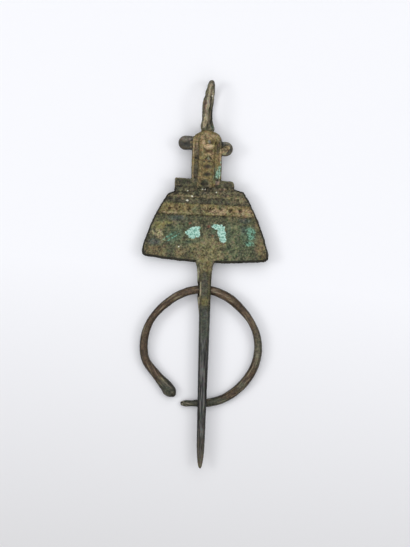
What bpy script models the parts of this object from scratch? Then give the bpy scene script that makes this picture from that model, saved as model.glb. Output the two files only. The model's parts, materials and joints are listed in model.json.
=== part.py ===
"""A fibula brooch of cast copper alloy, lying as it lies on a table.

The bell plate, stepped block, head with two lugs, loop, shank and pin are one casting.
An open ring with one knobbed end hangs in the slot of the shank, and its other end lies under the pin.
Sizes are in metres. Places are measured from the middle of the slot: +X to the right, +Y to the loop, +Z to the front.
"""

import math

import bmesh
import bpy
from mathutils import Matrix, Vector

# Plate
PLATE_THICKNESS = 0.0017
PLATE_BACK = 0.0009
PLATE_START = 0.0096
PLATE_HEIGHT = 0.0202
MOUTH_WIDTH = 0.0400
MOUTH_TILT = math.radians(-1.3)
MOUTH_RISE = 0.0014
SHOULDER_WIDTH = 0.0234
SHOULDER_TILT = math.radians(2.9)
SHOULDER_RISE = 0.0011
SIDE_BOW = 0.0010
PLATE_CORNER = 0.0015
EDGE_ROUNDING = 0.0003

# Bands across the plate
BAND_TILT = math.radians(-1.1)
BAND_RELIEF = 0.00035
BAND_MARGIN = 0.0004
WIDE_BAND_FROM_MOUTH = 0.0134
WIDE_BAND_HEIGHT = 0.0032
BAND_GROOVE = 0.0020
BORDER_WIDTH = 0.0005
BORDER_RELIEF = 0.0002
WIDE_BAND_PITCH = 0.00315
PUNCH_WIDTH = 0.0011
PUNCH_DEPTH = 0.0004

# Stepped block above the plate
BLOCK_LEFT = 0.0100
BLOCK_RIGHT = 0.0080
BLOCK_HEIGHT = 0.0034
BLOCK_THICKNESS = 0.0027
FOOT_HEIGHT = 0.0013
FOOT_STEP = 0.0005
STROKE_PITCH = 0.0017
STROKE_WIDTH = 0.0006
BLOCK_TOP_TILT = math.radians(-2.6)
BLOCK_CORNER = 0.0009

# Head
HEAD_LEFT = 0.0050
HEAD_RIGHT = 0.0042
HEAD_LENGTH = 0.0149
HEAD_THICKNESS = 0.0031
HEAD_CORNER = 0.0032
CHANNEL_WIDTH = 0.0013
CHANNEL_DEPTH = 0.0008
RIM_WIDTH = 0.0008
RIB_WIDTH = 0.0047
RIB_RELIEF = 0.0008
RIB_LEAN = math.radians(2.3)
NOTCH_COUNT = 6
NOTCH_PITCH = 0.00248
NOTCH_WIDTH = 0.0029
NOTCH_HEIGHT = 0.0012
NOTCH_DEPTH = 0.0006
TOP_NOTCH_DROP = 0.0038
LUG_RADIUS = 0.0022
LUG_THICKNESS = 0.0024
LUG_DISH = 0.0005
LEFT_LUG_REACH = 0.0043
RIGHT_LUG_REACH = 0.0034
LEFT_LUG_DROP = 0.0036
RIGHT_LUG_DROP = 0.0052

# Loop
LOOP_LENGTH = 0.0171
LOOP_FRONT = 0.0046
LOOP_WIRE = 0.0017
LOOP_FOOT_WIDTH = 0.0033
LOOP_TWIST = math.radians(13)
LOOP_LEAN = 0.0011

# Shank and pin
SHANK_ROOT_WIDTH = 0.0051
SHANK_ROOT_DEPTH = 0.0030
SHANK_ROOT_OVERLAP = 0.0060
SHANK_FILLET = 0.0013
EYE_WIDTH = 0.0043
EYE_WALL = 0.0010
EYE_CHAMFER = 0.0011
PIN_LENGTH = 0.0459
PIN_START = 0.0095
PIN_WIDTH = 0.00325
PIN_DEPTH = 0.0029
PIN_TAPER = 0.4
PIN_NOSE = 0.82
PIN_OFFSET = 0.0004
SLOT_LENGTH = 0.0048
SLOT_CLEARANCE = 0.00045

# Open ring
RING_RADIUS = 0.01775
RING_OFFSET = 0.00042
WIRE_THICKNESS = 0.0026
KNOB_WIDTH = 0.0038
RING_CLEARANCE = 0.0003
TAPER_END = math.radians(-107)
TAPER_BEND = math.radians(-88)
KNOB_END = math.radians(243)
KNOB_ARM = math.radians(222)
KNOB_ARM_INSET = 0.0015

# Facets
WIRE_SIDES = 12
RING_STATIONS = 84
LOOP_STATIONS = 40
CUT_MARGIN = 0.001

BRONZE_COLOUR = (0.114, 0.110, 0.072, 1.0)
RING_COLOUR = (0.085, 0.062, 0.038, 1.0)


def smooth(value, low, high):
    """0 below low and 1 above high, with an even slope at both."""
    share = min(1.0, max(0.0, (value - low) / (high - low)))
    return share * share * (3 - 2 * share)


def mix(first, second, share):
    return first + (second - first) * share


def material(name, colour, roughness):
    made = bpy.data.materials.new(name)
    made.use_nodes = True
    shader = made.node_tree.nodes["Principled BSDF"]
    shader.inputs["Base Color"].default_value = colour
    shader.inputs["Roughness"].default_value = roughness
    shader.inputs["Metallic"].default_value = 0.6
    return made


def add_object(name, bm, parent, finish=None):
    """An object from a bmesh, with its faces pointing out, in the brooch's own frame."""
    bmesh.ops.recalc_face_normals(bm, faces=bm.faces)
    mesh = bpy.data.meshes.new(name)
    bm.to_mesh(mesh)
    bm.free()
    made = bpy.data.objects.new(name, mesh)
    made.parent = parent
    bpy.context.scene.collection.objects.link(made)
    if finish:
        mesh.materials.append(finish)
    return made


def helper(made):
    made.hide_render = True
    made.display_type = "WIRE"
    return made


def combine(target, other, operation):
    """Joins a helper to the target, or cuts the target with it."""
    step = target.modifiers.new(other.name, "BOOLEAN")
    step.operation = operation
    step.solver = "EXACT"
    step.object = helper(other)


def bow(start, end, rise, steps):
    """Points along a shallow arc from start to end, both left out, that bulges to the right of the way."""
    start, end = Vector(start), Vector(end)
    side = Vector((end.y - start.y, start.x - end.x)).normalized()
    points = []
    for i in range(1, steps):
        share = i / steps
        points.append((*(start.lerp(end, share) + side * rise * 4 * share * (1 - share)), 0))
    return points


def rounded(corners, steps=4):
    """An outline from corners (x, y, radius), each corner of some radius cut round."""
    outline = []
    for i, (x, y, radius) in enumerate(corners):
        here = Vector((x, y))
        if not radius:
            outline.append(here)
            continue
        before = (Vector(corners[i - 1][:2]) - here).normalized()
        after = (Vector(corners[(i + 1) % len(corners)][:2]) - here).normalized()
        half = before.angle(after) / 2
        first = here + before * radius / math.tan(half)
        last = here + after * radius / math.tan(half)
        centre = here + (before + after).normalized() * radius / math.sin(half)
        for k in range(steps + 1):
            spoke = (first - centre).lerp(last - centre, k / steps).normalized()
            outline.append(centre + spoke * radius)
    return outline


def turned(outline, angle, about):
    turn = Matrix.Rotation(angle, 2)
    return [turn @ (Vector(point[:2]) - Vector(about)) + Vector(about) for point in outline]


def prism(outline, low, high, rounding):
    """A flat-backed slab of the outline, with its front edge rounded."""
    bm = bmesh.new()
    back = [bm.verts.new((*point, low)) for point in outline]
    front = [bm.verts.new((*point, high)) for point in outline]
    bm.faces.new(reversed(back))
    bm.faces.new(front)
    for i in range(len(outline)):
        bm.faces.new((back[i - 1], back[i], front[i], front[i - 1]))
    if rounding:
        rim = [bm.edges.get((front[i - 1], front[i])) for i in range(len(front))]
        bmesh.ops.bevel(bm, geom=rim, offset=rounding, segments=2, profile=0.5, affect="EDGES")
    return bm


def loft(sections, closed=False):
    """A skin over sections that all have as many points, with flat ends unless it closes on itself."""
    bm = bmesh.new()
    rings = [[bm.verts.new(point) for point in section] for section in sections]
    pairs = list(zip(rings, rings[1:] + rings[:1])) if closed else list(zip(rings, rings[1:]))
    for first, second in pairs:
        for i in range(len(first)):
            bm.faces.new((first[i - 1], first[i], second[i], second[i - 1]))
    if not closed:
        bm.faces.new(reversed(rings[0]))
        bm.faces.new(rings[-1])
    return bm


def oval(centre, across, along, width, depth, sides=WIRE_SIDES):
    """The points of an oval section: width along the direction across, depth along the other."""
    points = []
    for k in range(sides):
        angle = math.tau * k / sides
        points.append(centre + across * width / 2 * math.cos(angle) + along * depth / 2 * math.sin(angle))
    return points


def chamfered(y, left, right, front, back, left_cut, right_cut):
    """A bar's section square to Y, with its four edges cut off; the cut is steep, as a hammer leaves it."""
    return [
        Vector((x, y, z))
        for x, z in (
            (-left, back + left_cut),
            (-left + left_cut * 0.6, back),
            (right - right_cut * 0.6, back),
            (right, back + right_cut),
            (right, front - right_cut * 1.6),
            (right - right_cut, front),
            (-left + left_cut, front),
            (-left, front - left_cut * 1.6),
        )
    ]


def plate_half_width(y):
    """Half the plate's width at a height above its mouth, along the straight line of its side."""
    return mix(MOUTH_WIDTH, SHOULDER_WIDTH, y / PLATE_HEIGHT) / 2


def plate_front():
    return PLATE_THICKNESS - PLATE_BACK


def head_middle():
    return (HEAD_RIGHT - HEAD_LEFT) / 2


def shoulder_line(x):
    """The Y of the slanting line through both shoulders."""
    return PLATE_START + PLATE_HEIGHT + (x - head_middle()) * math.tan(SHOULDER_TILT)


def plate_outline():
    left, right = -MOUTH_WIDTH / 2, MOUTH_WIDTH / 2
    low_left = (left, PLATE_START + left * math.tan(MOUTH_TILT))
    low_right = (right, PLATE_START + right * math.tan(MOUTH_TILT))
    high_left, high_right, under_left, under_right = (
        (x, shoulder_line(x) + rise)
        for x, rise in (
            (head_middle() - SHOULDER_WIDTH / 2, 0),
            (head_middle() + SHOULDER_WIDTH / 2, 0),
            (-BLOCK_LEFT + BLOCK_CORNER, SHOULDER_RISE),
            (BLOCK_RIGHT - BLOCK_CORNER, SHOULDER_RISE),
        )
    )
    return rounded(
        [
            (*low_left, PLATE_CORNER),
            *bow(low_left, low_right, MOUTH_RISE, 8),
            (*low_right, PLATE_CORNER),
            *bow(low_right, high_right, SIDE_BOW, 6),
            (*high_right, PLATE_CORNER / 2),
            (*under_right, 0),
            (*under_left, 0),
            (*high_left, PLATE_CORNER / 3),
            *bow(high_left, low_left, SIDE_BOW, 6),
        ]
    )


def band_outline(low, height):
    """A band across the plate from a height above its mouth, short of the plate's sides by the margin."""
    lower = plate_half_width(low) - BAND_MARGIN
    upper = plate_half_width(low + height) - BAND_MARGIN
    y = PLATE_START + low
    corners = [(-lower, y), (lower, y), (upper, y + height), (-upper, y + height)]
    return turned(corners, BAND_TILT, (0, y + height / 2))


def add_bands(plate, parent):
    """The wide band with its lower border, and a border alone above the groove."""
    front = plate_front() + BAND_RELIEF
    upper = WIDE_BAND_FROM_MOUTH + WIDE_BAND_HEIGHT + BAND_GROOVE
    for name, low, height, top in (
        ("wide_band", WIDE_BAND_FROM_MOUTH, WIDE_BAND_HEIGHT, front),
        ("wide_band_border", WIDE_BAND_FROM_MOUTH, BORDER_WIDTH, front + BORDER_RELIEF),
        ("upper_border", upper, BORDER_WIDTH, front),
    ):
        bm = prism(band_outline(low, height), 0, top, BORDER_RELIEF / 2)
        combine(plate, add_object(name, bm, parent), "UNION")


def punch(bm, x, y, surface, width, height, depth):
    """Adds to a cutter one dished mark of some width and height, sunk to a depth below the surface."""
    place = Matrix.Translation((x, y, surface))
    size = Matrix.Diagonal((width / 2, height / 2, 1, 1))
    bmesh.ops.create_cone(
        bm, cap_ends=True, segments=10, radius1=0.5, radius2=1.5, depth=2 * depth, matrix=place @ size
    )


def row(middle, room, pitch):
    """Places along X at an even pitch, as many as there is room for on both sides of the middle."""
    count = int(2 * room / pitch) + 1
    return [middle + (i - (count - 1) / 2) * pitch for i in range(count)]


def band_marks(parent):
    """A row of dots along the wide band."""
    bm = bmesh.new()
    middle = PLATE_START + WIDE_BAND_FROM_MOUTH + (WIDE_BAND_HEIGHT + BORDER_WIDTH) / 2
    room = plate_half_width(WIDE_BAND_FROM_MOUTH + WIDE_BAND_HEIGHT) - BAND_MARGIN - PUNCH_WIDTH
    for x in row(head_middle(), room, WIDE_BAND_PITCH):
        y = middle + x * math.tan(BAND_TILT)
        punch(bm, x, y, plate_front() + BAND_RELIEF, PUNCH_WIDTH, PUNCH_WIDTH, PUNCH_DEPTH)
    return add_object("band_marks", bm, parent)


def block_low():
    return shoulder_line(0) + SHOULDER_RISE / 2


def block_high(x):
    """The Y of the block's top edge, which slants down to the right."""
    return block_low() + BLOCK_HEIGHT + x * math.tan(BLOCK_TOP_TILT)


def block_front():
    return BLOCK_THICKNESS - PLATE_BACK


def block_corners(low_left, low_right):
    return [
        (-BLOCK_LEFT, low_left, 0),
        (BLOCK_RIGHT + BLOCK_CORNER / 2, low_right, 0),
        (BLOCK_RIGHT, block_high(BLOCK_RIGHT), BLOCK_CORNER),
        (-BLOCK_LEFT, block_high(-BLOCK_LEFT), BLOCK_CORNER / 2),
    ]


def add_block(parent):
    """The block stands back in a foot that follows the shoulders."""
    rise = BLOCK_RIGHT * math.tan(SHOULDER_TILT)
    corners = block_corners(block_low() - rise, block_low() + rise)
    bm = prism(rounded(corners), -PLATE_BACK, block_front() - FOOT_STEP, EDGE_ROUNDING / 2)
    foot = add_object("block_foot", bm, parent)
    low = block_low() + FOOT_HEIGHT
    bm = prism(rounded(block_corners(low, low)), -PLATE_BACK / 2, block_front(), EDGE_ROUNDING)
    combine(foot, add_object("block_upper", bm, parent), "UNION")
    return foot


def foot_marks(parent):
    """A row of upright strokes along the block's foot, each open at its lower end."""
    bm = bmesh.new()
    for x in row(head_middle(), min(BLOCK_LEFT, BLOCK_RIGHT) - STROKE_PITCH / 2, STROKE_PITCH):
        low, high = shoulder_line(x), block_low() + FOOT_HEIGHT - STROKE_WIDTH / 2
        place = Matrix.Translation((x, (low + high) / 2, block_front() - FOOT_STEP))
        size = Matrix.Diagonal((STROKE_WIDTH, high - low, 2 * PUNCH_DEPTH, 1))
        bmesh.ops.create_cube(bm, size=1, matrix=place @ size)
    return add_object("foot_marks", bm, parent)


def head_top():
    return block_high(0) + HEAD_LENGTH


def head_front():
    return HEAD_THICKNESS - PLATE_BACK


def add_head(parent):
    low = block_high(0) - BLOCK_HEIGHT / 2
    corners = [
        (-HEAD_LEFT, low, 0),
        (HEAD_RIGHT, low, 0),
        (HEAD_RIGHT, head_top(), HEAD_CORNER),
        (-HEAD_LEFT, head_top(), HEAD_CORNER),
    ]
    return add_object("head", prism(rounded(corners), -PLATE_BACK, head_front(), EDGE_ROUNDING * 2), parent)


def channels(parent):
    """A channel down each side of the head, inside a thin rim, which sets the rib free."""
    bm = bmesh.new()
    low, high = block_high(0) + EDGE_ROUNDING, head_top() - HEAD_CORNER
    for x in (-HEAD_LEFT + RIM_WIDTH + CHANNEL_WIDTH / 2, HEAD_RIGHT - RIM_WIDTH - CHANNEL_WIDTH / 2):
        place = Matrix.Translation((x, (low + high) / 2, head_front()))
        size = Matrix.Diagonal((CHANNEL_WIDTH, high - low, 2 * CHANNEL_DEPTH, 1))
        bmesh.ops.create_cube(bm, size=1, matrix=place @ size)
    return add_object("channels", bm, parent)


def rib_middle(y):
    """The rib's middle line across X, which leans with its top to the right."""
    return head_middle() + (y - head_top() + TOP_NOTCH_DROP) * math.tan(RIB_LEAN)


def add_rib(parent):
    """The raised rib down the head and onto the block, rounded off under the loop."""
    low, high = block_low() + BLOCK_HEIGHT / 4, head_top() - LOOP_WIRE / 2
    floor = 0
    sections = []
    for share, width, rise in (
        (0.0, 1.0, 0.2),
        (0.04, 1.0, 1.0),
        (0.3, 0.96, 1.0),
        (0.75, 1.0, 1.0),
        (0.88, 1.1, 0.9),
        (0.96, 0.95, 0.55),
        (1.0, 0.7, 0.05),
    ):
        half, y = RIB_WIDTH * width / 2, mix(low, high, share)
        top, flank = head_front() + RIB_RELIEF * rise, head_front() + RIB_RELIEF * rise * 0.35
        profile = ((-1, floor), (1, floor), (1, flank), (0.8, mix(flank, top, 0.8)), (0.4, top))
        profile += ((-0.4, top), (-0.8, mix(flank, top, 0.8)), (-1, flank))
        sections.append([Vector((rib_middle(y) + x * half, y, z)) for x, z in profile])
    return add_object("rib", loft(sections), parent)


def rib_marks(parent):
    """A row of short notches across the rib."""
    bm = bmesh.new()
    for i in range(NOTCH_COUNT):
        y = head_top() - TOP_NOTCH_DROP - i * NOTCH_PITCH
        punch(bm, rib_middle(y), y, head_front() + RIB_RELIEF, NOTCH_WIDTH, NOTCH_HEIGHT, NOTCH_DEPTH)
    return add_object("rib_marks", bm, parent)


def lug_front():
    return LUG_THICKNESS - PLATE_BACK


def lug_middle(side):
    """Where a lug's round end has its middle: side is -1 for the left one and 1 for the right one."""
    if side < 0:
        return -HEAD_LEFT - LEFT_LUG_REACH + LUG_RADIUS, head_top() - LEFT_LUG_DROP
    return HEAD_RIGHT + RIGHT_LUG_REACH - LUG_RADIUS, head_top() - RIGHT_LUG_DROP


def add_lug(name, side, rounding, parent):
    """A stub with a round end on one side of the head, with its root inside the head."""
    x, y = lug_middle(side)
    root = side * (min(HEAD_LEFT, HEAD_RIGHT) - LUG_RADIUS / 2)
    outline = [Vector((root, y - LUG_RADIUS * 0.9))]
    for k in range(13):
        angle = math.radians(-90 + 180 * k / 12)
        outline.append(Vector((x + side * LUG_RADIUS * math.cos(angle), y + LUG_RADIUS * math.sin(angle))))
    outline.append(Vector((root, y + LUG_RADIUS * 0.9)))
    bm = prism(outline if side > 0 else outline[::-1], -PLATE_BACK, lug_front(), rounding)
    return add_object(name, bm, parent)


def lug_dish(parent):
    """The dish in the right lug's front."""
    bm = bmesh.new()
    x, y = lug_middle(1)
    punch(bm, x, y, lug_front(), LUG_RADIUS, LUG_RADIUS, LUG_DISH)
    return add_object("lug_dish", bm, parent)


def loop_point(angle, table_drop):
    """The middle of the loop's wire: an upright oval standing on the head, twisted, and leaning at its top."""
    middle_z = (LOOP_FRONT - table_drop) / 2
    half_y = (LOOP_LENGTH - LOOP_WIRE) / 2
    half_z = (LOOP_FRONT + table_drop - LOOP_WIRE) / 2
    rise, out = half_y * (1 - math.cos(angle)), half_z * math.sin(angle)
    lean = LOOP_LEAN * (rise / LOOP_LENGTH) ** 2
    x = head_middle() + lean - out * math.tan(LOOP_TWIST)
    return Vector((x, head_top() - LOOP_WIRE / 4 + rise, middle_z + out))


def add_loop(table_drop, parent):
    sections = []
    for i in range(LOOP_STATIONS):
        angle, step = math.tau * i / LOOP_STATIONS, math.tau / LOOP_STATIONS
        here = loop_point(angle, table_drop)
        way = (loop_point(angle + step, table_drop) - loop_point(angle - step, table_drop)).normalized()
        across = Vector((1, 0, 0))
        across = (across - way * way.dot(across)).normalized()
        foot = math.exp(-(((here.y - head_top()) / (LOOP_WIRE * 1.5)) ** 2))
        width = mix(LOOP_WIRE, LOOP_FOOT_WIDTH, foot)
        sections.append(oval(here, across, way.cross(across), width, LOOP_WIRE))
    return add_object("loop", loft(sections, closed=True), parent)


def pin_taper(share):
    """How thick the pin is at a share of its length, against its start: an even taper, then a round nose."""
    nose = max(0.0, (share - PIN_NOSE) / (1 - PIN_NOSE))
    return (1 - PIN_TAPER * share**1.2) * math.sqrt(max(0.0, 1 - nose * nose))


def slot_height():
    """Room for the ring's wire at its thickest in the slot, whichever way the ring swings."""
    return WIRE_THICKNESS * wire_swell(math.pi / 2) + 2 * SLOT_CLEARANCE


def eye_depth():
    return slot_height() + 2 * EYE_WALL


def add_shank(parent):
    """The bar from inside the plate, past the slotted eye, to the tip of the pin."""
    sections = []
    root = PLATE_START + SHANK_ROOT_OVERLAP
    eye_half = SLOT_LENGTH / 2
    inside = PLATE_BACK / 3
    mouth = PLATE_START - MOUTH_RISE
    for i in range(25):
        y = mix(root, -PIN_START, i / 24)
        to_plate = smooth(y, eye_half, PLATE_START)
        to_pin = smooth(-y, eye_half / 4, PIN_START)
        sinking = smooth(y, mouth, root)
        width = mix(mix(EYE_WIDTH, SHANK_ROOT_WIDTH, to_plate), PIN_WIDTH, to_pin)
        width += 2 * SHANK_FILLET * smooth(y, mouth - SHANK_FILLET, mouth + SHANK_FILLET) ** 2
        depth = mix(mix(eye_depth(), SHANK_ROOT_DEPTH, to_plate), PIN_DEPTH, to_pin)
        front = mix(depth / 2 + (plate_front() - PLATE_BACK) * to_plate, inside, sinking)
        back = mix(-depth / 2 + SHANK_ROOT_DEPTH * 0.2 * to_plate, -inside, sinking)
        cut = min(mix(EYE_CHAMFER, PIN_DEPTH * 0.22, to_pin), (front - back) * 0.3)
        middle = PIN_OFFSET * to_pin
        right_cut = mix(cut * 0.5, cut, to_pin)
        sections.append(chamfered(y, width / 2 - middle, width / 2 + middle, front, back, cut, right_cut))
    steps = 18
    for i in range(1, steps + 1):
        share = 1 - (1 - i / steps) ** 1.5 if i < steps else 0.9985
        half, deep = PIN_WIDTH * pin_taper(share) / 2, PIN_DEPTH * pin_taper(share) / 2
        y = -PIN_START - PIN_LENGTH * share
        sections.append(chamfered(y, half - PIN_OFFSET, half + PIN_OFFSET, deep, -deep, deep * 0.44, deep * 0.44))
    return add_object("shank", loft(sections), parent)


def slot_cutter(parent):
    """The slot from side to side through the shank, with round ends."""
    half_y, half_z = SLOT_LENGTH / 2, slot_height() / 2
    reach = SHANK_ROOT_WIDTH / 2 + CUT_MARGIN
    corner = half_z * 0.6
    corners = [(y, z, corner) for y, z in ((-half_y, -half_z), (half_y, -half_z), (half_y, half_z), (-half_y, half_z))]
    ends = [[Vector((x, *point)) for point in rounded(corners)] for x in (-reach, reach)]
    return add_object("slot", loft(ends), parent)


def add_casting(table_drop, parent):
    casting = add_object(
        "plate_and_pin",
        prism(plate_outline(), -PLATE_BACK, plate_front(), EDGE_ROUNDING),
        parent,
        material("cast bronze", BRONZE_COLOUR, 0.55),
    )
    combine(casting, add_head(parent), "UNION")
    combine(casting, channels(parent), "DIFFERENCE")
    add_bands(casting, parent)
    for made in (
        add_block(parent),
        add_rib(parent),
        add_lug("left_lug", -1, LUG_THICKNESS * 0.35, parent),
        add_lug("right_lug", 1, EDGE_ROUNDING, parent),
        add_loop(table_drop, parent),
        add_shank(parent),
    ):
        combine(casting, made, "UNION")
    for made in (
        band_marks(parent),
        foot_marks(parent),
        rib_marks(parent),
        lug_dish(parent),
        slot_cutter(parent),
    ):
        combine(casting, made, "DIFFERENCE")
    return casting


def bump(angle, middle, spread):
    """1 at a place on the ring, in degrees, and nothing at about two spreads away."""
    return math.exp(-(((math.degrees(angle) - middle) / spread) ** 2))


def ring_radius(angle):
    """The ring's radius at an angle from +X: bent by hand, flat in places and straight at both ends."""
    if angle < TAPER_BEND:
        return RING_RADIUS / math.cos(angle - TAPER_BEND)
    radius = RING_RADIUS
    for middle, depth, spread in ((130, 0.034, 26), (45, 0.042, 26), (-43, 0.014, 20)):
        radius -= RING_RADIUS * depth * bump(angle, middle, spread)
    if angle < math.pi:
        return radius
    arm = (RING_RADIUS - KNOB_ARM_INSET) / math.cos(angle - KNOB_ARM)
    blend = RING_RADIUS * 0.02
    return -blend * math.log(math.exp(-radius / blend) + math.exp(-arm / blend))


def ring_point(angle):
    radius = ring_radius(angle)
    return Vector((radius * math.cos(angle) - RING_OFFSET, radius * math.sin(angle) - RING_RADIUS, 0))


def wire_swell(angle):
    """How thick the wire is at an angle, against its own thickness: hammered by hand, so never quite even."""
    swell = 1
    for middle, more, spread in ((24, -0.18, 20), (62, 0.1, 22), (149, -0.13, 18), (-45, 0.1, 26), (210, 0.06, 15)):
        swell += more * bump(angle, middle, spread)
    return swell


def wire_size(share, angle):
    """The wire's width and depth: tapered to the end under the pin, and swollen to the knob at the other."""
    taper = mix(0.5, 1, smooth(share, -0.01, 0.07))
    knob = math.exp(-(((share - 0.966) / 0.03) ** 2))
    end = math.sqrt(max(0.03, 1 - max(0.0, (share - 0.968) / 0.0325) ** 2))
    start = math.sqrt(max(0.2, min(1.0, share / 0.008)))
    plain = WIRE_THICKNESS * wire_swell(angle) * taper * start * end
    depth = mix(WIRE_THICKNESS, knob_depth(), knob) / WIRE_THICKNESS
    return plain * mix(1, KNOB_WIDTH / WIRE_THICKNESS, knob), plain * depth


def add_ring(tilt, parent):
    """The open ring, flat in its own frame, whose X axis is the line it swings about."""
    sections = []
    up = Vector((0, 0, 1))
    for i in range(RING_STATIONS + 1):
        share = i / RING_STATIONS
        angle = mix(TAPER_END, KNOB_END, share)
        way = (ring_point(angle + 0.01) - ring_point(angle - 0.01)).normalized()
        width, depth = wire_size(share, angle)
        sections.append(oval(ring_point(angle), up.cross(way), up, width, depth))
    ring = add_object("open_ring", loft(sections), parent, material("drawn bronze", RING_COLOUR, 0.45))
    ring.rotation_euler.x = tilt
    return ring


def far_reach():
    """How far the ring's wire lies from the slot where it passes under the pin."""
    return 2 * RING_RADIUS


def ring_drop():
    """How far below the slot's middle the ring's wire passes under the pin, clear of it."""
    crossing = (far_reach() - PIN_START) / PIN_LENGTH
    return PIN_DEPTH * pin_taper(crossing) / 2 + RING_CLEARANCE + WIRE_THICKNESS / 2


def table_level():
    """How far below the slot's middle the table is: the ring's far side and the loop lie on it."""
    return ring_drop() + WIRE_THICKNESS / 2


def knob_depth():
    """The knob lies on the table too, so it is flatter than it is wide."""
    height = ring_drop() * -ring_point(math.radians(231)).y / far_reach()
    return 2 * (table_level() - height)


def set_on_table(brooch, pieces):
    """Moves the brooch so that the table is at Z 0, below the middle of its bounding box."""
    bpy.context.view_layer.update()
    graph = bpy.context.evaluated_depsgraph_get()
    corners = []
    for piece in pieces:
        made = piece.evaluated_get(graph)
        corners += [made.matrix_world @ vertex.co for vertex in made.to_mesh().vertices]
        made.to_mesh_clear()
    low = [min(corner[i] for corner in corners) for i in range(3)]
    high = [max(corner[i] for corner in corners) for i in range(2)]
    brooch.location = (-(low[0] + high[0]) / 2, -(low[1] + high[1]) / 2, -low[2])


def main():
    for old in list(bpy.data.objects):
        bpy.data.objects.remove(old)
    brooch = bpy.data.objects.new("brooch", None)
    bpy.context.scene.collection.objects.link(brooch)
    casting = add_casting(table_level(), brooch)
    ring = add_ring(math.asin(ring_drop() / far_reach()), brooch)
    set_on_table(brooch, (casting, ring))


main()
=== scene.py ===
# %% [markdown]
# # A cast brooch with an open ring, dressed for its picture
#
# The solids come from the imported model: one casting, which is the loop, the head, the block, the plate, the
# shank and the pin, and one open ring of hammered wire. They are true in shape and size, and plain. This
# lesson gives them the skin that two thousand years in the ground left: softened edges, pits, crusts, earth
# in the hollows and verdigris.

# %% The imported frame
import json
import math

import bpy
import numpy as np
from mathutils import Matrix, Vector
from mathutils.kdtree import KDTree


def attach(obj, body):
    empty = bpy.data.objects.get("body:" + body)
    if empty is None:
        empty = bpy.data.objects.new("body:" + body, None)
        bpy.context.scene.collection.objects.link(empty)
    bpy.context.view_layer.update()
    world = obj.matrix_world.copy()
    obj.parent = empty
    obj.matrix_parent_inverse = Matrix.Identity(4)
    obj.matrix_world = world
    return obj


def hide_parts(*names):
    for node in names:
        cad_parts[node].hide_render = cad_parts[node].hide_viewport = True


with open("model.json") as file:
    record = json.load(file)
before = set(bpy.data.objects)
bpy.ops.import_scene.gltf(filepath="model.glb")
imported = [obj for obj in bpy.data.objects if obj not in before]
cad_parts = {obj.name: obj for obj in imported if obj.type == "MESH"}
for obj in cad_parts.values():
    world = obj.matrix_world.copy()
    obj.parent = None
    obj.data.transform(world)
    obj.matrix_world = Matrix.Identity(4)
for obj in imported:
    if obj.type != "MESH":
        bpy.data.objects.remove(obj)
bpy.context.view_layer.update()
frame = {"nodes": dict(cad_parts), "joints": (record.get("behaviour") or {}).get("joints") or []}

MM = 0.001
SLOT = Vector(frame["joints"][0]["pos_m"])
print("slot at", [round(v / MM, 2) for v in SLOT], "nodes", sorted(frame["nodes"]))


def place(x, y):
    """A point in metres from millimetres to the right of and above the middle of the shank's slot."""
    return SLOT + Vector((x, y, 0)) * MM


# %% [markdown]
# ## Camera
#
# The brooch was photographed from straight above, a little turned, so that the loop leans to the right. A
# long lens from a metre away keeps the loop, which stands nearer the lens, from swelling.

# %% Camera
CAMERA_HEIGHT = 1.0
FRAME_HEIGHT = 169.1 * MM
SENSOR = 24.0
CAMERA_TURN = math.radians(1.75)
AIM = place(0.16, 4.86)

bpy.ops.object.camera_add(location=(AIM.x, AIM.y, CAMERA_HEIGHT), rotation=(0, 0, CAMERA_TURN))
camera = bpy.context.object
camera.data.sensor_fit = "VERTICAL"
camera.data.sensor_height = SENSOR
camera.data.lens = SENSOR * (CAMERA_HEIGHT - SLOT.z) / FRAME_HEIGHT
camera.data.dof.use_dof = False
bpy.context.scene.camera = camera
print("lens", round(camera.data.lens, 1), "mm")

# %% [markdown]
# ## Nodes in a few words
#
# A material is a tree of nodes. One helper adds a node, sets its options, fills its inputs in their order or
# by name, and gives back an output to go on with. A colour is written as the hex value that a painter would
# pick, and is turned to the linear value that the renderer works in.

# %% Colour and node helpers
def linear(hex_colour):
    """The linear colour, with alpha, of an sRGB hex value."""
    parts = [int(hex_colour[i : i + 2], 16) / 255 for i in (1, 3, 5)]
    return tuple(p / 12.92 if p <= 0.04045 else ((p + 0.055) / 1.055) ** 2.4 for p in parts) + (1.0,)


def add_node(tree, kind, settings=None, *values, out=None, **named):
    """Adds a node with its settings and links. A value is a socket, a number, a vector or a hex colour."""
    node = tree.nodes.new("ShaderNode" + kind)
    for name, value in (settings or {}).items():
        setattr(node, name, value)
    pairs = list(zip([socket for socket in node.inputs if socket.enabled], values))
    pairs += [(node.inputs[name.replace("_", " ")], value) for name, value in named.items()]
    for socket, value in pairs:
        if isinstance(value, bpy.types.NodeSocket):
            tree.links.new(value, socket)
        else:
            socket.default_value = linear(value) if isinstance(value, str) else value
    return node.outputs[out] if out else next(socket for socket in node.outputs if socket.enabled)


SMOOTH = {"interpolation_type": "SMOOTHSTEP"}
COLOUR = {"data_type": "RGBA"}
TIMES = {"operation": "MULTIPLY"}
TIMES_PLUS = {"operation": "MULTIPLY_ADD"}


def new_material(name):
    """A new material with its tree and its shader."""
    material = bpy.data.materials.new(name)
    material.use_nodes = True
    return material, material.node_tree, material.node_tree.nodes["Principled BSDF"]


print("sRGB 50% grey is", round(linear("#808080")[0], 3), "in linear light")
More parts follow.
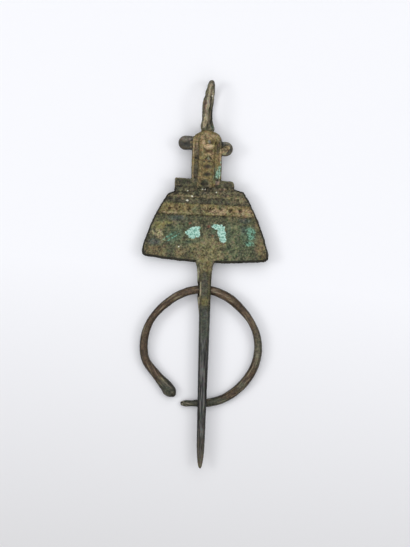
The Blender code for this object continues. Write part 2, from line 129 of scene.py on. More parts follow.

# %% [markdown]
# ## Table and light
#
# The table is a sheet of white card. Its near end lies further from the window, and that fall of light is
# painted into the card's colour as painted shade, greyer towards the near end. A white ceiling gives most of
# the light, and it is brightest straight above, so faces that turn away from the lens go dark. Two windows,
# left and right, give the pair of soft shadows beside the pin, and a broad one beyond the loop keeps them
# soft.

# %% Table and light
CARD_FAR = "#f7f8fa"
CARD_NEAR_SHADE = "#dbdbdb"
CARD_SIZE = 2.4
CARD_LEAN = 0.08
FALL_FROM, FALL_TO = 4 * MM, -88 * MM
CEILING = 1.43
CEILING_EDGE = 0.3
CEILING_WHITE = "#fafafd"
ROOM_GREY = "#3c3c40"
WINDOW_DISTANCE = 1.2

scene = bpy.context.scene
scene.view_settings.view_transform = "Standard"
scene.world = bpy.data.worlds.new("white ceiling over a dim room")
scene.world.use_nodes = True
tree = scene.world.node_tree
up = add_node(tree, "SeparateXYZ", None, add_node(tree, "TexCoord", out="Generated"), out="Z")
height = add_node(tree, "MapRange", SMOOTH, up, CEILING_EDGE, 1.0)
room = add_node(tree, "Mix", COLOUR, height, ROOM_GREY, CEILING_WHITE)
tree.links.new(room, tree.nodes["Background"].inputs["Color"])
tree.nodes["Background"].inputs["Strength"].default_value = CEILING

bpy.ops.mesh.primitive_plane_add(size=CARD_SIZE)
table = bpy.context.object
table.name = "white_card"
card, tree, shader = new_material("matt white card")
where = add_node(tree, "TexCoord", out="Object")
right = add_node(tree, "SeparateXYZ", None, where, out="X")
far = add_node(tree, "SeparateXYZ", None, where, out="Y")
# Painted shade: the card's colour darkens towards its near end, for the light falling off from the window.
slope = add_node(tree, "Math", TIMES_PLUS, right, CARD_LEAN, far)
near = add_node(tree, "MapRange", None, slope, SLOT.y + FALL_FROM, SLOT.y + FALL_TO)
tree.links.new(add_node(tree, "Mix", COLOUR, near, CARD_FAR, CARD_NEAR_SHADE), shader.inputs["Base Color"])
shader.inputs["Roughness"].default_value = 0.95
table.data.materials.append(card)


def window(name, azimuth, elevation, size, watts):
    """A square soft light that looks at the brooch: azimuth 0 is from the right, 90 from beyond the loop."""
    turn, lift = math.radians(azimuth), math.radians(elevation)
    way = Vector((math.cos(turn) * math.cos(lift), math.sin(turn) * math.cos(lift), math.sin(lift)))
    bpy.ops.object.light_add(type="AREA", location=way * WINDOW_DISTANCE)
    lamp = bpy.context.object
    lamp.name = name
    lamp.rotation_euler = way.to_track_quat("Z", "Y").to_euler()
    lamp.data.shape = "SQUARE"
    lamp.data.size = size
    lamp.data.energy = watts


window("left window", 176, 46, 0.34, 2.0)
window("right window", 4, 52, 0.34, 1.2)
window("far window", 80, 50, 0.9, 1.4)

# %% [markdown]
# ## A wax copy of each solid
#
# The founder cut the model in wax, and wax has no sharp corner. The solid's triangles are copied and joined,
# and a voxel remesh rebuilds the copy as an even net of small squares, which rounds every edge by about the
# voxel's size and gives points enough to press marks into. Bevels would round only the edges that one picks.

# %% Wax copies
CASTING_VOXEL = 0.19 * MM
RING_VOXEL = 0.15 * MM
JOIN = 0.001 * MM
SOFTEN_ROUNDS = 2


def wax_copy(node_name, name, voxel):
    """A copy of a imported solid, remeshed evenly and smoothed a few rounds."""
    bpy.ops.object.select_all(action="DESELECT")
    node = frame["nodes"][node_name]
    node.select_set(True)
    bpy.context.view_layer.objects.active = node
    bpy.ops.object.duplicate()
    piece = bpy.context.object
    piece.parent = None
    piece.name = name
    piece.data.materials.clear()
    for mark in [key for key in piece.keys() if key.startswith("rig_")]:
        del piece[mark]
    bpy.ops.object.mode_set(mode="EDIT")
    bpy.ops.mesh.select_all(action="SELECT")
    bpy.ops.mesh.remove_doubles(threshold=JOIN)
    bpy.ops.object.mode_set(mode="OBJECT")
    remesh = piece.modifiers.new("wax", "REMESH")
    remesh.mode = "VOXEL"
    remesh.voxel_size = voxel
    bpy.ops.object.modifier_apply(modifier=remesh.name)
    soften = piece.modifiers.new("soften", "SMOOTH")
    soften.iterations = SOFTEN_ROUNDS
    bpy.ops.object.modifier_apply(modifier=soften.name)
    print(name, "has", len(piece.data.polygons), "faces")
    return piece


casting = wax_copy("plate_and_pin", "bronze_casting", CASTING_VOXEL)
ring = wax_copy("open_ring", "hammered_ring", RING_VOXEL)

# %% [markdown]
# ## Working the wax
#
# A warm tool presses the wax down, a drop of wax added to it stands proud, and a thumb smooths it. Each dab
# of the tool is a soft oval seen from the front. Its weights go into a vertex group, and a Displace or Smooth
# modifier acts on that group. It is weight painting with numbers in place of a brush, so a dab is placed to a
# tenth of a millimetre.

# %% Dabs of the tool
WEIGHT_STEPS = 250
PRESS = {"direction": "Z", "mid_level": 0.0}
SWELL = {"direction": "NORMAL", "mid_level": 0.0}
SHIFT = {"direction": "X", "mid_level": 0.0}
STRETCH = {"direction": "Y", "mid_level": 0.0}
CRUMBLE = {"direction": "NORMAL", "mid_level": 0.5, "texture_coords": "LOCAL"}


def points_and_normals(piece):
    """The points of a piece in millimetres from the slot's middle, and its point normals."""
    count = len(piece.data.vertices)
    points = np.empty(count * 3, np.float32)
    piece.data.vertices.foreach_get("co", points)
    normals = np.empty(count * 3, np.float32)
    piece.data.vertex_normals.foreach_get("vector", normals)
    return (points.reshape(-1, 3) - np.array(SLOT)) / MM, normals.reshape(-1, 3)


def soft_step(value):
    """0 below 0, 1 above 1, and a smooth rise between them."""
    value = np.clip(value, 0, 1)
    return value * value * (3 - 2 * value)


def reach(points, x, y, wide, tall, turn=0.0):
    """How far out each point lies in an oval on the front: 0 at its middle and 1 on its outline."""
    angle = math.radians(turn)
    across = (points[:, 0] - x) * math.cos(angle) + (points[:, 1] - y) * math.sin(angle)
    along = (points[:, 1] - y) * math.cos(angle) - (points[:, 0] - x) * math.sin(angle)
    return np.hypot(across / (wide / 2), along / (tall / 2))


def dab(points, x, y, wide, tall, turn=0.0, firm=0.5):
    """How strongly an oval dab of the tool is felt at each point: firm is the share of it that is flat."""
    return soft_step((1 - reach(points, x, y, wide, tall, turn)) / (1 - firm))


def work(piece, weights, kind, **settings):
    """Applies a modifier to the weighted points of a piece."""
    group = piece.vertex_groups.new(name="worked")
    levels = np.round(np.clip(weights, 0, 1) * WEIGHT_STEPS).astype(int)
    for level in np.unique(levels[levels > 0]):
        group.add(np.flatnonzero(levels == level).tolist(), level / WEIGHT_STEPS, "REPLACE")
    tool = piece.modifiers.new("tool", kind)
    tool.vertex_group = group.name
    for name, value in settings.items():
        setattr(tool, name, value)
    bpy.context.view_layer.objects.active = piece
    bpy.ops.object.modifier_apply(modifier=tool.name)
    piece.vertex_groups.clear()


def front_of(normals):
    """1 where a point faces the front, 0 on the sides and the back."""
    return soft_step((normals[:, 2] - 0.25) / 0.4)


# %% [markdown]
# ## The rounded rim
#
# The plate's edge was filed round and then worn. A map of how far each point lies from the outline, seen from
# the front, tells where the rim is: the outline is the wall low down on the back's side. The rim is then
# smoothed on its own, which turns the wax copy's tight corner into a wide one, and the same map later says
# where the rim gets its painted shade.

# %% Rim of the plate
PLATE_BACK = -0.9
WALL_HEIGHT = 1.0
PLATE_FOOT, PLATE_TOP = 9.0, 27.0
FILED_WIDTH = 1.1


def map_rim(piece):
    """For each point, how many millimetres it lies from the outline, seen from the front."""
    points, normals = points_and_normals(piece)
    over_back = points[:, 2] - PLATE_BACK
    walls = points[(np.abs(normals[:, 2]) < 0.5) & (over_back > -0.3) & (over_back < WALL_HEIGHT)]
    outline = KDTree(len(walls))
    for index, (x, y, _) in enumerate(walls):
        outline.insert((x, y, 0), index)
    outline.balance()
    return np.array([outline.find((x, y, 0))[2] for x, y in points[:, :2]])


points, normals = points_and_normals(casting)
on_plate = soft_step((points[:, 1] - PLATE_FOOT) / 2.0) * soft_step((PLATE_TOP - points[:, 1]) / 3.0)
rim = map_rim(casting)
filed = soft_step((FILED_WIDTH - rim) / 0.6) * on_plate * (normals[:, 2] > -0.3)
work(casting, filed, "SMOOTH", factor=0.5, iterations=10)
print("rim points", int((rim < 0.6).sum()))

# %% [markdown]
# ## The head's relief
#
# The head is a plain pillar with a rib down its front. On the real one the rib's top is framed by a low arch,
# with a knob under it, a hollow on the right of the knob and a short bright ridge on its left. Below come the
# notches, each worn to its own shape. The channels beside the rib are half full of crust, the right one more
# than the left.

# %% Relief of the head
CHANNEL_CRUST = 0.55 * MM
RELIEF_HEIGHT = 0.6 * MM
HOLLOW_DEPTH = 0.5 * MM

points, normals = points_and_normals(casting)
on_rib = dab(points, -0.2, 39.4, 4.2, 17.0, -2, 0.75) * (points[:, 2] > 1.6)
work(casting, on_rib, "SMOOTH", factor=0.5, iterations=30)

front = front_of(normals)
fill = np.maximum.reduce([
    dab(points, 2.75, 40.5, 1.9, 13.5, 0, 0.7),
    dab(points, -3.3, 43.2, 1.9, 6.0, -2, 0.6) * 0.6,
    dab(points, -3.5, 36.5, 1.9, 6.0, 0, 0.6) * 0.75,
])
work(casting, fill * (points[:, 2] < 2.0) * front, "DISPLACE", strength=CHANNEL_CRUST, **PRESS)

arch_reach = reach(points, -0.1, 44.6, 7.0, 6.6)
arch = soft_step(1 - np.abs(arch_reach - 1) / 0.28) * soft_step((points[:, 1] - 43.4) / 1.4)
raised = np.maximum.reduce([
    arch * 0.8,
    dab(points, 0.05, 44.1, 2.6, 1.9, firm=0.1),
    dab(points, -0.1, 44.9, 1.0, 2.0, firm=0.1) * 0.7,
    dab(points, -1.35, 45.2, 0.9, 1.9, firm=0.2) * 0.7,
    dab(points, -1.75, 41.6, 1.3, 2.6) * 0.35,
    dab(points, 1.75, 41.2, 1.2, 2.4) * 0.35,
])
work(casting, raised * front, "DISPLACE", strength=RELIEF_HEIGHT, **PRESS)

hollows = np.maximum.reduce([
    dab(points, 0.9, 45.4, 2.1, 1.7, 10, 0.2) * 0.6,
    dab(points, -0.3, 42.6, 0.9, 0.8) * 0.5,
    dab(points, 0.95, 42.7, 1.0, 0.8) * 0.6,
    dab(points, -0.45, 40.5, 0.7, 1.7, -40) * 0.5,
    dab(points, 0.72, 40.6, 0.7, 1.7, 42) * 0.5,
    dab(points, -0.1, 38.0, 2.9, 1.2, 0, 0.1) * 0.5,
    dab(points, -0.25, 35.6, 2.7, 1.3, 0, 0.1) * 0.5,
    dab(points, -1.0, 32.8, 3.4, 2.6, 0, 0.2) * 0.6,
    dab(points, -4.2, 40.5, 1.8, 0.9, 8) * 0.6,
    dab(points, 2.9, 44.3, 1.1, 2.6, -6) * 0.5,
])
work(casting, hollows * front, "DISPLACE", strength=-HOLLOW_DEPTH, **PRESS)
print("relief on", int((np.maximum(raised, hollows) > 0.01).sum()), "points")

# %% [markdown]
# ## Worn marks on the bands and the lugs
#
# The punched marks of the wide band are uneven: some are deep, one is a tangle of small cuts, and the plate
# below the band is dished a little, so that a dark strip runs along it. The left lug is a smooth pad, the
# right one a dish. Where verdigris grew, its crust stands proud of the plate.

# %% Marks of the bands and lugs
BAND_SLOPE = math.tan(math.radians(-1.1))
BAND_FOOT, BAND_TOP = 22.8, 26.2
MARKS = {-11.4: (2.0, 1.0), -9.1: (1.2, 0.6), -5.4: (2.8, 0.8), 7.3: (1.8, 0.9), 10.5: (2.1, 0.8)}
MARK_DEPTH = 0.5 * MM
CRUST_HEIGHT = 0.16 * MM
PAD_HEIGHT = 0.35 * MM

points, _ = points_and_normals(casting)
level = points[:, 1] - BAND_SLOPE * points[:, 0]
step = soft_step(1 - np.abs(level - BAND_FOOT) / 0.9) * (np.abs(points[:, 0]) < 17)
work(casting, step * (points[:, 2] > 0), "SMOOTH", factor=0.5, iterations=8)

points, normals = points_and_normals(casting)
front = front_of(normals)
along_band = np.column_stack([points[:, 0], level])
marks = np.maximum.reduce([
    dab(along_band, x, 24.5, wide, 1.6, firm=0.1) * depth for x, (wide, depth) in MARKS.items()
])
cuts = np.maximum.reduce([
    dab(along_band, 0.4 + 0.6 * across, 24.6, 0.6, 2.4, -24 * across) for across in (-2, -1, 0, 1, 2)
])
strip = soft_step((22.9 - level) / 0.3) * soft_step((level - 20.2) / 1.6)
strip *= soft_step((16.2 - np.abs(points[:, 0])) / 1.5)
lug_dish = dab(points, 5.3, 43.5, 3.4, 2.6, 30, firm=0.4)
sunk = np.maximum.reduce([marks * 0.5, cuts * 0.5, strip * 0.3 * (points[:, 1] > 15), lug_dish * 0.4])
work(casting, sunk * front, "DISPLACE", strength=-MARK_DEPTH, **PRESS)

crusts = np.maximum.reduce([
    dab(points, -3.9, 17.4, 4.6, 4.3, 0, 0.7),
    dab(points, 4.0, 19.2, 4.4, 2.8, -10, 0.7),
    dab(points, 5.2, 17.0, 3.2, 5.6, 5, 0.7),
    dab(points, 13.7, 18.0, 2.6, 3.8, 0, 0.5) * 0.6,
    dab(points, 3.3, 36.0, 1.5, 4.0, -8, 0.5) * 0.8,
])
work(casting, crusts * front, "DISPLACE", strength=CRUST_HEIGHT, **PRESS)
pad = dab(points, -7.0, 45.6, 4.0, 2.6, firm=0.1)
work(casting, pad * front, "DISPLACE", strength=PAD_HEIGHT, **PRESS)
print("marks on", int((sunk > 0.01).sum()), "points")

# %% [markdown]
# ## The loop and the pin
#
# The loop was rolled from two strands that lie side by side, with a groove between them that leans with the
# loop. It was bent a little to the left by wear, its foot spreads, and its top is thin. The pin was drawn and
# filed to a soft-edged taper, so its edges are smoothed on their own. The shank's left facet sank in over the
# slot, but it stays above the slot's roof, so that the ring's wire runs free.

# %% Loop and pin
LOOP_LIFT = 0.4 * MM
LOOP_BEND = 0.45 * MM
TOP_THINNING = 0.12 * MM
FOOT_SPREAD = 0.15 * MM
GROOVE_DEPTH = 0.45 * MM
PIN_START = -5.0
PIN_SWELL = 0.18 * MM
SUNK_DEPTH = 0.8
SLOT_ROOF = 1.85

points, _ = points_and_normals(casting)
work(casting, soft_step((points[:, 1] - 62.0) / 2.0), "DISPLACE", strength=LOOP_LIFT, **STRETCH)
bent = soft_step(1 - np.abs(points[:, 1] - 55.5) / 8.0)
work(casting, bent, "DISPLACE", strength=-LOOP_BEND, **SHIFT)
work(casting, soft_step((points[:, 1] - 57.0) / 6.0), "DISPLACE", strength=-TOP_THINNING, **SWELL)
spread = soft_step(1 - np.abs(points[:, 1] - 50.0) / 3.0) * soft_step((points[:, 1] - 48.8) / 0.8)
work(casting, spread, "DISPLACE", strength=FOOT_SPREAD, **SWELL)

points, normals = points_and_normals(casting)
facing_up = soft_step((normals[:, 2] + 0.1) / 0.5)
grooves = np.maximum.reduce([
    dab(points, -0.55, 53.6, 0.9, 10, -14),
    dab(points, 0.25, 59.8, 0.55, 7.5, -5),
    dab(points, -1.55, 56.6, 0.6, 4.5, -6) * 0.8,
    dab(points, 0.75, 54.2, 0.6, 6.5, -4) * 0.8,
])
work(casting, grooves * facing_up, "DISPLACE", strength=-GROOVE_DEPTH, **PRESS)

pin_part = soft_step((PIN_START - points[:, 1]) / 4.0)
not_point = soft_step((points[:, 1] + 56.0) / 6.0)
work(casting, pin_part * not_point, "SMOOTH", factor=0.5, iterations=14)
points, _ = points_and_normals(casting)
fuller = soft_step((PIN_START - points[:, 1]) / 4.0) * (0.4 + 0.6 * soft_step((-30 - points[:, 1]) / 25))
work(casting, fuller, "DISPLACE", strength=PIN_SWELL, **SWELL)
points, normals = points_and_normals(casting)
over_roof = (points[:, 2] - SLOT_ROOF) / SUNK_DEPTH
sunk_facet = np.minimum(dab(points, -1.95, -0.1, 1.0, 5.6, 0, 0.75), over_roof) * (normals[:, 2] > 0.1)
work(casting, sunk_facet, "DISPLACE", strength=-SUNK_DEPTH * MM, **PRESS)
print("pin points", int((pin_part > 0.5).sum()))

# %% [markdown]
# ## Corrosion
#
# Bronze that lay in wet soil loses its skin grain by grain. Procedural textures, fine clouds and coarser
# ones, move the surface in and out along its normals. The plate is rough, the head and the loop less so, the
# lugs hardly, and the shank fades to the pin, which was rubbed smooth by wear and by cleaning. The sides of
# the slot stay as they are, so that the ring runs free.

# %% Corroded skin
EARTH_DEPTH = 0.60 * MM
STRAND_WEAR = 0.34 * MM
SCRATCH_DEPTH = 0.10 * MM
SLOT_REACH = 3.5


def cloud(name, size, depth=2):
    """A soft noise texture whose lumps measure about size millimetres."""
    texture = bpy.data.textures.new(name, "CLOUDS")
    texture.noise_scale = size * MM
    texture.noise_depth = depth
    return texture


points, _ = points_and_normals(casting)
above_slot = soft_step((points[:, 1] - SLOT_REACH) / 3.0)
below_slot = soft_step((-SLOT_REACH - points[:, 1]) / 3.0)
on_head = soft_step((points[:, 1] - 30.5) / 1.0)
on_lugs = np.maximum(dab(points, -7.9, 45.2, 6.4, 7, 0, 0.7), dab(points, 6.6, 43.6, 4.8, 7, 0, 0.7))
on_loop = soft_step((points[:, 1] - 48.0) / 1.0)
rough = above_slot * (1 - 0.55 * on_head) * (0.45 + 0.55 * soft_step(points[:, 2] / 1.0))
rough *= (1 - 0.75 * on_lugs) * (1 - 0.5 * on_loop)
work(casting, rough, "DISPLACE", strength=EARTH_DEPTH, texture=cloud("earth grains", 0.62), **CRUMBLE)
work(casting, rough, "DISPLACE", strength=EARTH_DEPTH, texture=cloud("lost skin", 2.6, 1), **CRUMBLE)
work(casting, on_loop, "DISPLACE", strength=STRAND_WEAR, texture=cloud("worn strands", 1.7, 1), **CRUMBLE)
work(casting, below_slot, "DISPLACE", strength=SCRATCH_DEPTH, texture=cloud("old scratches", 1.1), **CRUMBLE)
points, _ = points_and_normals(casting)
print("casting box", [round(float(v), 2) for v in points.min(0)], [round(float(v), 2) for v in points.max(0)])

# %% [markdown]
# ## The ring
#
# The ring is thick wire, hammered round on an anvil and bent cold. It keeps the wax copy's even net and gets
# the long shallow dents of the hammer. Its knob is a full drop, and its thin end is blunt and nicked, as if
# it had been nipped off and hammered shut. The wire in the slot stays as it is.

# %% Hammered ring
KNOB_SWELL = 0.62 * MM
TAIL_SWELL = 0.34 * MM
DENT_DEPTH = 0.16 * MM
PIT_DEPTH = 0.10 * MM
NICK_DEPTH = 1.0 * MM

points, normals = points_and_normals(ring)
knob_end = dab(points, -9.7, -32.1, 5.6, 5.6, 0, 0.35) * soft_step((1.2 - np.abs(normals[:, 2])) / 0.6)
work(ring, knob_end, "DISPLACE", strength=KNOB_SWELL, **SWELL)
tail_end = soft_step((-2.2 - points[:, 0]) / 3.0) * (points[:, 1] < -33.5) * (points[:, 0] > -6.4)
work(ring, tail_end * soft_step((normals[:, 2] + 0.9) / 0.5), "DISPLACE", strength=TAIL_SWELL, **SWELL)
points, normals = points_and_normals(ring)
away = soft_step((np.hypot(points[:, 0], points[:, 1]) - SLOT_REACH) / 2.0)
work(ring, away, "DISPLACE", strength=DENT_DEPTH, texture=cloud("hammer dents", 3.2, 1), **CRUMBLE)
work(ring, away, "DISPLACE", strength=PIT_DEPTH, texture=cloud("pitted skin", 0.8), **CRUMBLE)
nick = dab(points, -6.3, -35.4, 2.8, 0.6, 8, firm=0.3) * soft_step((normals[:, 2] + 0.4) / 0.5)
work(ring, nick, "DISPLACE", strength=-NICK_DEPTH, **PRESS)
points, _ = points_and_normals(ring)
print("ring box", [round(float(v), 2) for v in points.min(0)], [round(float(v), 2) for v in points.max(0)])

# %% [markdown]
# ## Hollows and ridges
#
# Earth stays in hollows and shade falls in them, and hands rub the ridges, which also catch the light, so a
# finish needs to know where they are. Averaging each point with its neighbours a few times flattens the
# surface, and the distance from a point to its flattened place says how far it lies in a hollow. Two such
# maps, a fine and a broad one, are kept as attributes that the casting's material reads.

# %% Maps of the hollows
FINE_ROUNDS, BROAD_ROUNDS = 10, 80


def paint(piece, name, mask):
    """Keeps a mask as an attribute of the piece, as vertex paint does."""
    values = np.asarray(mask, np.float32)
    piece.data.attributes.new(name, "FLOAT", "POINT").data.foreach_set("value", values)


def map_hollows(piece, name, rounds):
    """Paints how many millimetres each point lies below its surroundings after some rounds of averaging."""
    points, normals = points_and_normals(piece)
    edges = np.empty(len(piece.data.edges) * 2, np.int32)
    piece.data.edges.foreach_get("vertices", edges)
    ends = np.concatenate([edges[0::2], edges[1::2]])
    others = np.concatenate([edges[1::2], edges[0::2]])
    neighbours = np.bincount(ends, minlength=len(points))
    flat = points.copy()
    for _ in range(rounds):
        sums = [np.bincount(ends, flat[others, axis], len(points)) for axis in range(3)]
        flat = np.stack(sums, 1) / neighbours[:, None]
    depth = ((flat - points) * normals).sum(1)
    paint(piece, name, depth)
    print(piece.name, name, [round(float(v), 3) for v in np.percentile(depth, (1, 25, 50, 75, 99))])


map_hollows(casting, "fine_hollow", FINE_ROUNDS)
map_hollows(casting, "broad_hollow", BROAD_ROUNDS)

# %% [markdown]
# ## Where each crust, painted shade and painted highlight lies
#
# A buried bronze is a patchwork of crusts, and each has its place: verdigris where water stood, sandy earth
# low on the plate. Some maps hold painted light and shade instead: a dark rim, the loop's shadowed side, the
# slot's shade, the shank's lit facet and highlights on the lugs. Their places are painted on the piece as
# soft maps, which are a half on a patch's outline. Later a noise of the crust's own grain size breaks that
# outline.
# Painting by ovals and stretches in millimetres from the slot keeps each patch where the casting has it,
# whatever the mesh is.

# %% Painting helpers
def spots(points, *ovals):
    """A map of soft ovals (x, y, wide, tall, turn): 1 in their middle, a half on the outline, 0 far out."""
    return np.maximum.reduce([np.clip(1 - reach(points, *oval) / 2, 0, 1) for oval in ovals])


def inside(value, low, high):
    """A map of the stretch between low and high: a half at both ends, 1 from a millimetre inside them."""
    return np.clip(0.5 + np.minimum(value - low, high - value) / 2, 0, 1)


# %% Crusts of the plate
points, normals = points_and_normals(casting)
front = front_of(normals)
x, y = points[:, 0], points[:, 1]
level = y - BAND_SLOPE * x
on_band = inside(level, BAND_FOOT, BAND_TOP)
pale_stretches = spots(points, (12.8, 23.8, 7, 2.4), (2.2, 24.2, 2.6, 2), (5, 24, 3, 2))
# Pale lines at the band's foot and its bordering ridges: pale crust, and a painted highlight on the ridges.
pale_lit_foot = spots(along_band, (-11.4, 23.1, 6, 0.6), (12.6, 23.1, 4, 0.7))
border_lines = np.maximum(inside(level, 28.2, 28.9), inside(level, 22.85, 23.4))
zones = {
    "green_crust": spots(points, (9.5, 14, 11, 10), (-9, 17, 8, 6, 20), (12, 19.5, 9, 4), (-4, 14.5, 7, 4)),
    "sandy_earth": spots(points, (1, 11.4, 9, 7), (0.5, 7, 4, 7), (2.5, 14, 6, 4), (-3.4, 14.3, 3, 4, -35)),
    "brown_crust": spots(
        points, (-16, 11.4, 7, 4), (17.4, 12.5, 3.4, 9, 20), (16.2, 20, 3, 5, 25), (-8, 11.2, 3, 3),
    ),
    "ochre_crust": spots(points, (-14.1, 19.6, 4.4, 2.4, 25), (-12.3, 20.3, 3.4, 1.4)),
    "pale_earth": spots(points, (-14.6, 16.6, 3.4, 2.2, -30), (-13.2, 15.2, 2.0, 1.6)),
    "slate_strip": np.minimum(inside(level, 20.4, BAND_FOOT), inside(x, -15, 15)),
    "slate_crust": spots(
        points, (-8.8, 21.8, 5, 1.6), (12, 21.4, 3, 1.6), (11.8, 18.6, 1.6, 2.6), (-16, 14.2, 4, 2),
    ),
    "cuprite": spots(points, (0.9, 19.4, 1.1, 0.8), (2, 16.6, 0.9, 0.9), (-4.9, 20.3, 1, 0.6)),
    "rosy_earth": spots(points, (2.7, 32.8, 1.7, 1.5), (4.6, 30.9, 1.4, 0.7, 10)),
    "band_earth": on_band,
    "band_green": np.minimum(on_band, spots(points, (-2.5, 24.2, 3.4, 4), (4.6, 25.4, 2, 3))),
    "band_pale": np.maximum(np.minimum(inside(level, 22.9, 26), pale_stretches), pale_lit_foot),
    "band_mark": np.clip(np.maximum(marks * 1.5, cuts), 0, 1) * front,
    "border_pale_and_lit": border_lines * 0.5 + 0.25 * (np.abs(x) < 14.5),
}
for name, mask in zones.items():
    paint(casting, name, mask)
print("plate crusts", len(zones))

# %% Crusts, painted shade and painted highlights of the block, the head, the lugs and the loop
at_head = np.minimum(inside(x, -5.3, 4.8), inside(level, 34.3, 49.0))
at_head = np.maximum(at_head, np.minimum(inside(x, -3.0, 2.4), inside(level, 31.6, 35.5)))
at_left_lug = np.minimum(inside(x, -12, -4.8), inside(y, 41, 49))
at_right_lug = np.minimum(inside(x, 4.1, 9), inside(y, 40, 47.5))
zones = {
    "block_crust": np.minimum(inside(level, 26.4, 34.8), inside(x, -20, 20)),
    "block_pale": spots(points, (5.5, 30.1, 10, 2.0), (10, 27.4, 7, 2.0, -8), (-10.5, 28.6, 5, 1.4)),
    "head_earth": at_head,
    "head_pale": spots(
        points, (-0.1, 47.2, 6, 1.8), (-4.3, 43, 0.9, 5), (3.6, 40.6, 0.8, 2.0), (0.1, 41.7, 3.6, 0.8),
    ),
    "channel": spots(points, (-3.45, 42.0, 1.3, 6.2), (-3.7, 36.6, 1.8, 5.8), (2.2, 35.8, 0.6, 4.4)),
    # Painted shadow between the head and the right lug, and a darker tone low in the left channel.
    "head_dark_and_shadow": spots(points, (3.1, 43.6, 1.1, 4.0, -8), (-3.7, 40.6, 1.5, 0.6, 8), (-3.7, 36.0, 1.2, 4.4)),
    "notch": spots(
        points, (0.05, 37.85, 2.8, 1.1), (-0.1, 35.45, 2.6, 1.2), (-0.45, 40.5, 0.45, 1.6, -40),
        (0.72, 40.6, 0.45, 1.6, 42), (-1.2, 39.4, 0.8, 0.5), (0.45, 39.4, 0.8, 0.5),
    ),
    "foot_slate": spots(points, (-1.0, 32.7, 3.2, 2.4), (-0.3, 32.0, 2.4, 1.4)),
    "eye": spots(points, (1.15, 45.15, 1.0, 1.2)),
    "eye_grey": spots(points, (0.3, 45.5, 0.9, 1.2), (0.1, 40.25, 0.7, 0.8)),
    "mouth": spots(points, (-0.3, 42.65, 0.9, 0.7), (0.95, 42.7, 1.1, 0.8), (0.35, 42.4, 1.8, 0.5)),
    # The knob and the short ridge beside it are painted bright: rubbed metal and a painted highlight.
    "rubbed": spots(points, (0.1, 44.05, 2.7, 1.3), (-1.34, 45.25, 1.05, 1.4)),
    "lug_metal": np.maximum(at_left_lug, at_right_lug),
    # Black on the lugs, partly dark crust and partly painted shade on their edges; grey painted highlights on
    # top.
    "lug_black_and_shade": spots(points, (-6.2, 44.6, 2.8, 1.3, -14), (3.9, 45.0, 1.2, 2.6), (7.1, 43.6, 0.6, 2.8)),
    "lug_grey_highlight": spots(points, (-6.9, 46.4, 4.0, 1.1), (5.9, 45.3, 2.4, 0.8)),
    "lug_tan": spots(points, (5.2, 43.2, 3.4, 1.7, 38), (4.7, 42.3, 1.8, 1.4), (-5.3, 44.6, 0.8, 2.0)),
    "loop_metal": inside(level, 49.0, 70),
    # Pale on the loop's lit strands: partly pale crust, partly painted highlight.
    "loop_pale_and_lit": spots(
        points, (-0.5, 57.0, 0.9, 7, -6), (-1.1, 52.2, 1.1, 5, -12), (0.1, 61.2, 0.9, 5, -10),
        (0.95, 60, 0.4, 4),
    ),
    "loop_brown": spots(points, (-1.3, 57.0, 0.8, 3.4, -10), (0.4, 62.9, 0.9, 0.7)),
    # Near black on the loop's right side and groove: partly black crust, partly painted shadow.
    "loop_black_and_shadow": spots(
        points, (0.84, 54.4, 1.6, 7.0, -3), (0.45, 58.2, 0.5, 3.6, -4), (-0.5, 50.6, 0.4, 2.6, -8),
    ),
    "loop_green": spots(points, (1.0, 50.0, 1.2, 1.5)),
    "glint": spots(
        points, (0.8, 59.9, 0.5, 0.5), (-6.0, 27.3, 0.8, 0.6), (-4.55, 28.6, 0.6, 0.5),
        (-1.4, 30.85, 0.5, 0.4), (-0.6, 30.8, 0.5, 0.5), (-5.9, 30.2, 0.5, 0.4), (2.9, 30.0, 0.5, 0.4),
        (-8.2, 12.9, 0.5, 0.4),
    ) * front,
}
for name, mask in zones.items():
    paint(casting, name, mask)
print("head, lug and loop crusts", len(zones))

